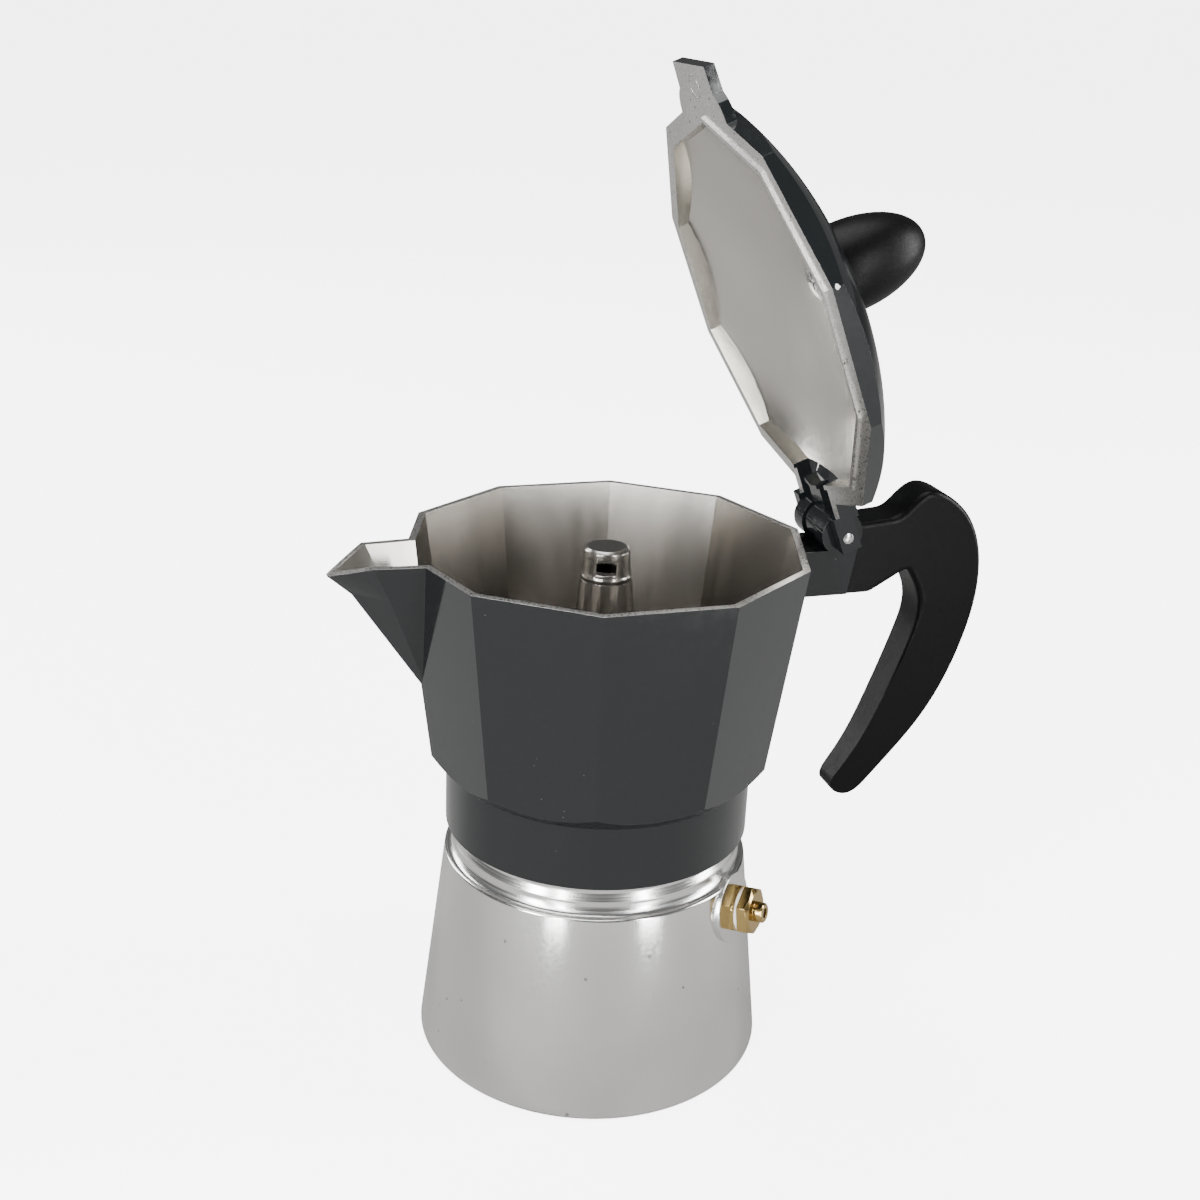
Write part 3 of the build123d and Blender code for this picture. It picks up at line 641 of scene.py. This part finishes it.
@dataclass
class UpperPot:
    """Faceted collector with its column, bracket and pin."""

    rim_z: float = 131.0
    floor_z: float = 79.0
    pin_half: float = 12.2
    bracket_x: float = 43.5
    bracket_half: float = 8.7
    bracket_foot_z: float = 114.0
    spout_x: float = -40.0
    spout_half: float = 11.0
    spout_foot_z: float = 96.0
    lip_x: float = -54.0
    column_r: float = 14.0
    floor_r: float = 41.0
    collar_z: float = 60.0

    def skin(self, centre: Vector, normal: Vector) -> int:
        """Sorts the casting's faces.

        Args:
            centre: the face's middle.
            normal: its direction.

        Returns:
            0 for enamel, 1 for bare inside and 2 for the ground rim.
        """
        x, y, z = centre.x / MM, centre.y / MM, centre.z / MM
        radial = Vector((x, y, 0)).normalized()
        inward = normal.dot(radial)
        reach = math.hypot(x, y)
        if x > self.bracket_x and abs(y) < self.bracket_half and z > self.bracket_foot_z:
            return 0
        if z > self.rim_z - 0.1 and normal.z > 0.7 or (x < self.lip_x and normal.z > 0.85):
            return 2
        if x < self.spout_x and abs(y) < self.spout_half and z > self.spout_foot_z:
            return 1 if normal.z > 0.02 or inward < -0.5 else 0
        if reach < self.column_r or inward < -0.2:
            return 1
        if z < self.floor_z + 1 and normal.z > 0.7:
            return 1
        return 1 if abs(normal.z) > 0.9 and z > self.collar_z and reach < self.floor_r else 0

    def build(self, rack: FinishRack) -> None:
        """Builds the pot, the column's cap and the hinge pin."""
        pot = Piece("upper_casting", Body.UPPER, "enamel",
                    ("dark_enamel", "inner_casting", "ground_rim"), ("collector",),
                    bevel=0.35, rule=self.skin)
        pot.place(merged_copy("collector"), rack)
        cap = Piece("column_top", Body.UPPER, "cast_aluminium", ("inner_casting",), ("column_cap",),
                    bevel=0.25)
        cap.place(merged_copy("column_cap"), rack)
        self.build_pin(rack)

    def build_pin(self, rack: FinishRack) -> None:
        """Builds the pin with both ends peened."""
        half = self.pin_half
        outline = [(0, -half), (0.9, -half + 0.05), (1.45, -half + 0.35), (1.3, -half + 0.9),
                   (1.3, half - 0.9), (1.45, half - 0.35), (0.9, half - 0.05), (0, half)]
        bm = turned(outline, 48)
        bm.transform(Matrix.Translation(HINGE) @ Matrix.Rotation(math.pi / 2, 4, "X"))
        Piece("hinge_pin_peened", Body.UPPER, "steel", ("plain_steel",), ("hinge_pin",)).place(bm, rack)


@dataclass
class Handle:
    """Claw-shaped handle."""

    def build(self, rack: FinishRack) -> None:
        """Builds the handle with its moulded skin."""
        grip = Piece("handle_grip", Body.UPPER, "plastic", ("handle_plastic",), ("handle",), bevel=0.3,
                     bevel_angle=50.0)
        grip.place(merged_copy("handle"), rack)


@dataclass
class Cover:
    """Domed lid with knob and screw."""

    land_z: float = 131.3
    land_r: float = 52.0
    mark_x: float = -52.6
    ear_x: float = 46.5
    lug_x: float = 42.0
    lug_half: float = 3.5
    inside_z: float = 147.0

    def skin(self, centre: Vector, normal: Vector) -> int:
        """Sorts the lid's faces.

        Args:
            centre: the face's middle, on the opened lid.
            normal: its direction.

        Returns:
            0 for enamel, 1 for bare casting and 2 for the ground land.
        """
        back = opened().inverted()
        spot = back @ centre / MM
        facing = back.to_3x3() @ normal
        radial = Vector((spot.x, spot.y, 0)).normalized()
        inward = facing.dot(radial) < -0.1
        if spot.x > self.ear_x or spot.x > self.lug_x and abs(spot.y) < self.lug_half:
            return 0
        if facing.z < -0.9 and abs(spot.z - self.land_z) < 0.2:
            return 2 if math.hypot(spot.x, spot.y) < self.land_r else 0
        if spot.z < self.land_z - 0.05:
            return 2
        if facing.z < -0.15 or inward and spot.z < self.inside_z:
            return 1
        return 0

    def build(self, rack: FinishRack) -> None:
        """Builds the lid, the knob and the clamp screw."""
        lid = Piece("lid_casting_piece", Body.COVER, "enamel",
                    ("dark_enamel", "lid_casting", "ground_rim"), ("lid",), bevel=0.3, rule=self.skin)
        lid.place(merged_copy("lid"), rack)
        self.build_tab_mark(rack)
        self.build_knob(rack)
        screw = Piece("knob_screw_head", Body.COVER, "steel", ("plain_steel",), ("knob_screw",), bevel=0.1)
        screw.place(merged_copy("knob_screw"), rack)

    def build_tab_mark(self, rack: FinishRack) -> None:
        """Builds the round mark under the tab."""
        low = self.land_z - 0.05
        bm = turned([(2.35, low), (2.75, low), (2.7, low + 0.3), (2.4, low + 0.3)], 48)
        bm.transform(opened() @ Matrix.Translation((self.mark_x * MM, 0, 0)))
        Piece("tab_mark", Body.COVER, "enamel", ("lid_casting",)).place(bm, rack)

    def build_knob(self, rack: FinishRack) -> None:
        """Builds the knob."""
        knob = Piece("knob_moulded", Body.COVER, "plastic", ("knob_plastic",), ("knob",))
        knob.place(merged_copy("knob"), rack)


@dataclass
class HiddenPieces:
    """CAD nodes that stay as they are and only take a finish."""

    finishes: dict[str, str] = field(default_factory=lambda: {
        "valve_backnut": "polished_brass",
        "valve_plunger": "plain_steel",
        "valve_spring": "plain_steel",
        "funnel": "bright_aluminium",
        "funnel_screen": "bright_aluminium",
        "gasket": "seal_rubber",
        "filter_plate": "bright_aluminium",
        "handle_screw": "plain_steel",
        "knob_insert": "polished_brass",
    })

    def dress(self, rack: FinishRack) -> None:
        """Gives each node its finish."""
        for node, finish in self.finishes.items():
            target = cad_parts[node]
            target.data.materials.clear()
            target.data.materials.append(rack.get(finish))
            log.info("%s: dressed in %s", node, finish)


# ---------------------------------------------------------------- studio
@dataclass
class Studio:
    """Floor, light and camera."""

    azimuth: float = math.radians(-17.916)
    elevation: float = math.radians(21.21)
    roll: float = math.radians(2.435)
    distance: float = 0.3851
    target: Vector = field(default_factory=lambda: Vector((-0.0011, 0.00035, 0.1161)))
    lens: float = 48.84
    floor_glow: float = 5.0
    floor_seen_by_metal: tuple[float, float, float] = (0.34, 0.335, 0.33)
    surround: float = 0.13
    backdrop_glow: float = 3.0
    floor_size: float = 400.0
    floor_strips: tuple[tuple[str, float, float, float, float, float], ...] = (
        ("floor_strip_left", -131.0, 0.25, 0.95, 0.06, 1.7),
        ("floor_strip_right", -69.0, 0.25, 0.95, 0.06, 2.1),
    )

    def build_floor(self) -> None:
        """Lays the pale floor."""
        bm = bmesh.new()
        bmesh.ops.create_grid(bm, x_segments=1, y_segments=1, size=self.floor_size)
        mesh = bpy.data.meshes.new("floor")
        bm.to_mesh(mesh)
        bm.free()
        material = bpy.data.materials.new("pale_floor")
        material.use_nodes = True
        shader = material.node_tree.nodes["Principled BSDF"]
        shader.inputs["Roughness"].default_value = 0.8
        shader.inputs["Specular IOR Level"].default_value = 0.1
        shader.inputs["Emission Color"].default_value = (1.0, 1.0, 1.0, 1.0)
        sheet = NodeSheet(material.node_tree)
        path = sheet.add("ShaderNodeLightPath")
        glow = sheet.math("MULTIPLY", path.outputs["Is Camera Ray"], self.floor_glow)
        sheet.link(glow, shader.inputs["Emission Strength"])
        tone = Finish.mix(sheet, path.outputs["Is Camera Ray"], self.floor_seen_by_metal, (0.93, 0.93, 0.93))
        sheet.link(tone, shader.inputs["Base Color"])
        mesh.materials.append(material)
        floor = bpy.data.objects.new("floor", mesh)
        bpy.context.scene.collection.objects.link(floor)

    def build_lights(self) -> None:
        """Hangs the softboxes and sets the pale surroundings."""
        world = bpy.data.worlds.new("studio")
        world.use_nodes = True
        world.node_tree.nodes["Background"].inputs["Color"].default_value = (1.0, 1.0, 1.0, 1.0)
        sheet = NodeSheet(world.node_tree)
        path = sheet.add("ShaderNodeLightPath")
        seen = sheet.math("MULTIPLY", path.outputs["Is Camera Ray"], self.backdrop_glow)
        strength = sheet.math("ADD", seen, self.surround)
        sheet.link(strength, world.node_tree.nodes["Background"].inputs["Strength"])
        bpy.context.scene.world = world
        boxes = (
            ("strip_left", (-0.95, -0.55, 0.42), (0.25, 0.8), 16.0),
            ("strip_front_left", (-0.72, -0.83, 0.42), (0.10, 0.8), 8.0),
            ("strip_front_right", (0.41, -1.07, 0.42), (0.10, 0.8), 10.0),
            ("strip_right", (1.0, -0.25, 0.42), (0.3, 0.8), 14.0),
            ("strip_back_left", (-0.7, 0.9, 0.5), (0.3, 0.9), 8.0),
            ("top", (-0.1, 0.1, 1.25), (0.9, 0.9), 14.0),
        )
        for name, spot, size, power in boxes:
            lamp = bpy.data.lights.new(name, "AREA")
            lamp.shape = "RECTANGLE"
            lamp.size, lamp.size_y = size
            lamp.energy = power
            item = bpy.data.objects.new(name, lamp)
            item.location = spot
            aim = Vector((0, 0, 0.11)) - Vector(spot)
            item.rotation_euler = aim.to_track_quat("-Z", "Y").to_euler()
            bpy.context.scene.collection.objects.link(item)

    def build_floor_strips(self) -> None:
        """Lays two light strips in front of the pot, out of the camera's sight."""
        for name, azimuth, near, far, width, power in self.floor_strips:
            lamp = bpy.data.lights.new(name, "AREA")
            lamp.shape = "RECTANGLE"
            lamp.size, lamp.size_y = far - near, width
            lamp.energy = power
            item = bpy.data.objects.new(name, lamp)
            turn = math.radians(azimuth)
            middle = (near + far) / 2
            item.location = (middle * math.cos(turn), middle * math.sin(turn), 0.002)
            item.rotation_euler = (math.pi, 0.0, turn)
            item.visible_camera = False
            bpy.context.scene.collection.objects.link(item)

    def build_camera(self) -> None:
        """Sets the camera at the kept viewing angle."""
        a, e = self.azimuth, self.elevation
        back = Vector((math.sin(a) * math.cos(e), -math.cos(a) * math.cos(e), math.sin(e)))
        right = Vector((math.cos(a), math.sin(a), 0))
        up = back.cross(right)
        c, s = math.cos(self.roll), math.sin(self.roll)
        axes = Matrix((c * right + s * up, -s * right + c * up, back)).transposed()
        data = bpy.data.cameras.new("view")
        data.lens = self.lens
        data.sensor_width = 36.0
        camera = bpy.data.objects.new("view", data)
        camera.matrix_world = Matrix.Translation(self.target + back * self.distance) @ axes.to_4x4()
        bpy.context.scene.collection.objects.link(camera)
        bpy.context.scene.camera = camera

    def build(self) -> None:
        """Builds the whole studio."""
        self.build_floor()
        self.build_lights()
        self.build_floor_strips()
        self.build_camera()


def main() -> None:
    """Builds the pot piece by piece, then the studio."""
    rack = FinishRack()
    for part in (LowerPot(), Valve(), UpperPot(), Handle(), Cover()):
        part.build(rack)
    HiddenPieces().dress(rack)
    Studio().build()


if __name__ == "__main__":
    main()
